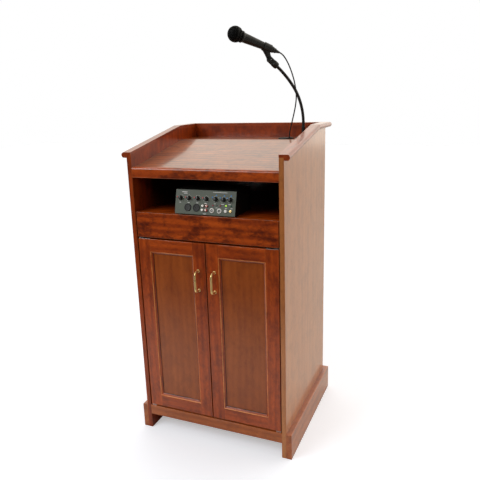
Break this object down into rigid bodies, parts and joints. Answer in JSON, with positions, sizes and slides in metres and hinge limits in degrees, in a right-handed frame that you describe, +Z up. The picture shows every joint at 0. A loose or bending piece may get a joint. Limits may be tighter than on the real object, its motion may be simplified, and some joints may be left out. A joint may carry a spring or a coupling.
{
  "type": "presentation lectern",
  "caption": "Wooden presentation lectern with a sloped desk, open equipment bay, drawer, two framed doors, a mixer and a gooseneck microphone.",
  "frame": {"origin": "on the floor under the middle of the object's box, handles and base boards included, cord left out", "axes": "+Z up, +Y from the presenter towards the audience, +X to the presenter's right"},
  "size_m": [0.652, 0.601, 1.5866],
  "materials": {
    "stained_cherry": "satin lacquer over red mahogany stain",
    "stained_cherry_panel": "satin lacquer over red mahogany stain, vertical grain",
    "drawer_box_wood": "clear satin lacquer",
    "polished_brass": "polished",
    "zinc_steel": "zinc plated",
    "catch_plastic": "moulded",
    "mixer_paint": "fine textured paint",
    "knob_black": "moulded",
    "socket_black": "moulded",
    "phono_plastic": "moulded",
    "nut_chrome": "polished",
    "lamp_lens": "clear tinted",
    "button_white": "moulded",
    "circuit_green": "solder mask",
    "stand_black": "matt black",
    "mic_black": "matt black enamel",
    "grille_black": "black wire mesh",
    "clip_plastic": "moulded",
    "cord_jacket": "matt",
    "grommet_plastic": "moulded"
  },
  "bodies": {
    "root": {"side_panel_left": "stained_cherry", "side_panel_right": "stained_cherry", "back_panel": "stained_cherry", "desk_board": "stained_cherry", "ledge_board": "stained_cherry", "desk_front_rail": "stained_cherry", "bay_shelf": "stained_cherry", "divider_board": "stained_cherry", "cabinet_floor": "stained_cherry", "bottom_rail": "stained_cherry", "cap_rail_left": "stained_cherry", "cap_rail_right": "stained_cherry", "cap_rail_back": "stained_cherry", "base_board_left": "stained_cherry", "base_board_right": "stained_cherry", "base_board_back": "stained_cherry", "cabinet_shelf": "stained_cherry", "shelf_pegs": "zinc_steel", "frame_pivot_plates": "zinc_steel", "magnetic_catches": "catch_plastic", "case_slides": "zinc_steel", "mixer_case": "mixer_paint", "combo_sockets": "socket_black", "phono_sockets": "phono_plastic", "jack_sockets": "nut_chrome", "indicator_lamps": "lamp_lens", "mixer_electronics": "circuit_green", "mic_flange": "stand_black", "gooseneck": "stand_black", "clip_base": "clip_plastic", "mic_cord": "cord_jacket", "cord_grommet": "grommet_plastic"},
    "left_door": {"left_door_stiles": "stained_cherry", "left_door_rails": "stained_cherry", "left_door_panel": "stained_cherry_panel", "left_door_handle": "polished_brass", "left_door_fixings": "zinc_steel", "left_door_pivot_plates": "zinc_steel"},
    "right_door": {"right_door_stiles": "stained_cherry", "right_door_rails": "stained_cherry", "right_door_panel": "stained_cherry_panel", "right_door_handle": "polished_brass", "right_door_fixings": "zinc_steel", "right_door_pivot_plates": "zinc_steel"},
    "drawer": {"drawer_front": "stained_cherry", "drawer_walls": "drawer_box_wood", "drawer_bottom": "drawer_box_wood", "drawer_slides": "zinc_steel"},
    "microphone": {"mic_clip": "clip_plastic", "mic_body": "mic_black", "mic_grille": "grille_black", "cord_plug": "clip_plastic"},
    "button": {"power_button": "button_white"},
    "knob_1": {"mixer_knob_1": "knob_black"},
    "knob_2": {"mixer_knob_2": "knob_black"},
    "knob_3": {"mixer_knob_3": "knob_black"},
    "knob_4": {"mixer_knob_4": "knob_black"},
    "knob_5": {"mixer_knob_5": "knob_black"},
    "knob_6": {"mixer_knob_6": "knob_black"},
    "knob_7": {"mixer_knob_7": "knob_black"}
  },
  "joints": [
    {"name": "left_door_hinge", "type": "hinge", "parent": "root", "child": "left_door", "pos_m": [-0.273, -0.2595, 0.111], "axis": [0, 0, -1], "range_deg": [0, 105]},
    {"name": "right_door_hinge", "type": "hinge", "parent": "root", "child": "right_door", "pos_m": [0.273, -0.2595, 0.111], "axis": [0, 0, 1], "range_deg": [0, 105]},
    {"name": "drawer_slide", "type": "slide", "parent": "root", "child": "drawer", "axis": [0, -1, 0], "range_m": [0, 0.33]},
    {"name": "mic_tilt", "type": "hinge", "parent": "root", "child": "microphone", "pos_m": [0.13611, 0.08283, 1.46932], "axis": [-0.766, 0.6428, 0], "range_deg": [-45, 22], "deforming": ["mic_cord"]},
    {"name": "knob_1_turn", "type": "hinge", "parent": "root", "child": "knob_1", "pos_m": [-0.09936, -0.24666, 0.98802], "axis": [0, -0.9648, 0.2631], "range_deg": [-150, 150]},
    {"name": "knob_2_turn", "type": "hinge", "parent": "root", "child": "knob_2", "pos_m": [-0.06528, -0.24666, 0.98802], "axis": [0, -0.9648, 0.2631], "range_deg": [-150, 150]},
    {"name": "knob_3_turn", "type": "hinge", "parent": "root", "child": "knob_3", "pos_m": [-0.03, -0.24666, 0.98802], "axis": [0, -0.9648, 0.2631], "range_deg": [-150, 150]},
    {"name": "knob_4_turn", "type": "hinge", "parent": "root", "child": "knob_4", "pos_m": [0.00408, -0.24666, 0.98802], "axis": [0, -0.9648, 0.2631], "range_deg": [-150, 150]},
    {"name": "knob_5_turn", "type": "hinge", "parent": "root", "child": "knob_5", "pos_m": [0.04128, -0.24666, 0.98802], "axis": [0, -0.9648, 0.2631], "range_deg": [-150, 150]},
    {"name": "knob_6_turn", "type": "hinge", "parent": "root", "child": "knob_6", "pos_m": [0.07248, -0.24666, 0.98802], "axis": [0, -0.9648, 0.2631], "range_deg": [-150, 150]},
    {"name": "knob_7_turn", "type": "hinge", "parent": "root", "child": "knob_7", "pos_m": [0.09888, -0.24666, 0.98802], "axis": [0, -0.9648, 0.2631], "range_deg": [-150, 150]},
    {"name": "power_button_press", "type": "slide", "parent": "root", "child": "button", "axis": [0, 0.9648, -0.2631], "range_m": [0, 0.0025], "stiffness_N_per_m": 300}
  ]
}
